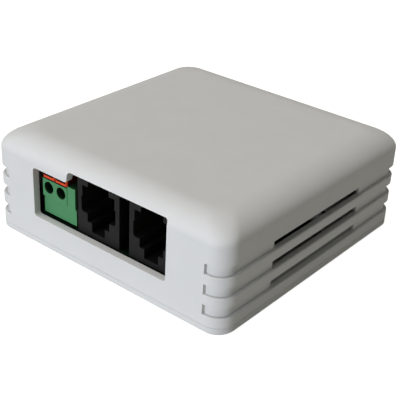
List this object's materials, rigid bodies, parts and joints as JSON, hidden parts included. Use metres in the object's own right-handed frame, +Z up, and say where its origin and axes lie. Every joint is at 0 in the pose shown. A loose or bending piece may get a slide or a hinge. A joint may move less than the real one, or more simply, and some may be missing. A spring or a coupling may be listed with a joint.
{
  "type": "rack temperature sensor",
  "caption": "Square vented sensor case with a crowned lid, wrap-round grooves with vent slots, modular jacks and a spring terminal with push-to-release buttons.",
  "frame": {"origin": "centre of the underside of the base plate, on the surface that it stands on", "axes": "+X along the connector face to the right as seen from in front of it, +Y away from that face to the back, +Z up"},
  "size_m": [0.07, 0.07, 0.0256],
  "materials": {
    "cover_plastic": "fine moulded matt",
    "base_plastic": "fine moulded matt",
    "board_laminate": "solder mask",
    "screw_steel": "zinc plated",
    "jack_plastic": "moulded satin",
    "insert_plastic": "moulded satin",
    "gilt_contacts": "gilt",
    "terminal_plastic": "moulded satin",
    "button_plastic": "moulded satin",
    "spring_steel": "bright",
    "tinned_copper": "tinned",
    "element_plastic": "moulded matt",
    "chip_plastic": "moulded matt",
    "capacitor_ceramic": "ceramic with bright ends",
    "resistor_ceramic": "ceramic with bright ends"
  },
  "bodies": {
    "housing": {"top_cover": "cover_plastic", "base_plate": "base_plastic", "circuit_board": "board_laminate", "board_screws": "screw_steel", "jack_housing_left": "jack_plastic", "jack_housing_right": "jack_plastic", "jack_insert_left": "insert_plastic", "jack_insert_right": "insert_plastic", "jack_contacts_left": "gilt_contacts", "jack_contacts_right": "gilt_contacts", "terminal_housing": "terminal_plastic", "clamp_spring_left": "spring_steel", "clamp_spring_right": "spring_steel", "current_rail_left": "tinned_copper", "current_rail_right": "tinned_copper", "sensor_element": "element_plastic", "sensor_leads": "tinned_copper", "interface_chip": "chip_plastic", "interface_chip_leads": "tinned_copper", "protection_diode": "chip_plastic", "capacitors": "capacitor_ceramic", "resistors": "resistor_ceramic"},
    "release_button_left": {"release_button_left": "button_plastic"},
    "release_button_right": {"release_button_right": "button_plastic"}
  },
  "joints": [
    {"name": "release_push_left", "type": "slide", "parent": "housing", "child": "release_button_left", "axis": [0, 1, 0], "range_m": [0, 0.001], "stiffness_N_per_m": 400},
    {"name": "release_push_right", "type": "slide", "parent": "housing", "child": "release_button_right", "axis": [0, 1, 0], "range_m": [0, 0.001], "stiffness_N_per_m": 400}
  ]
}
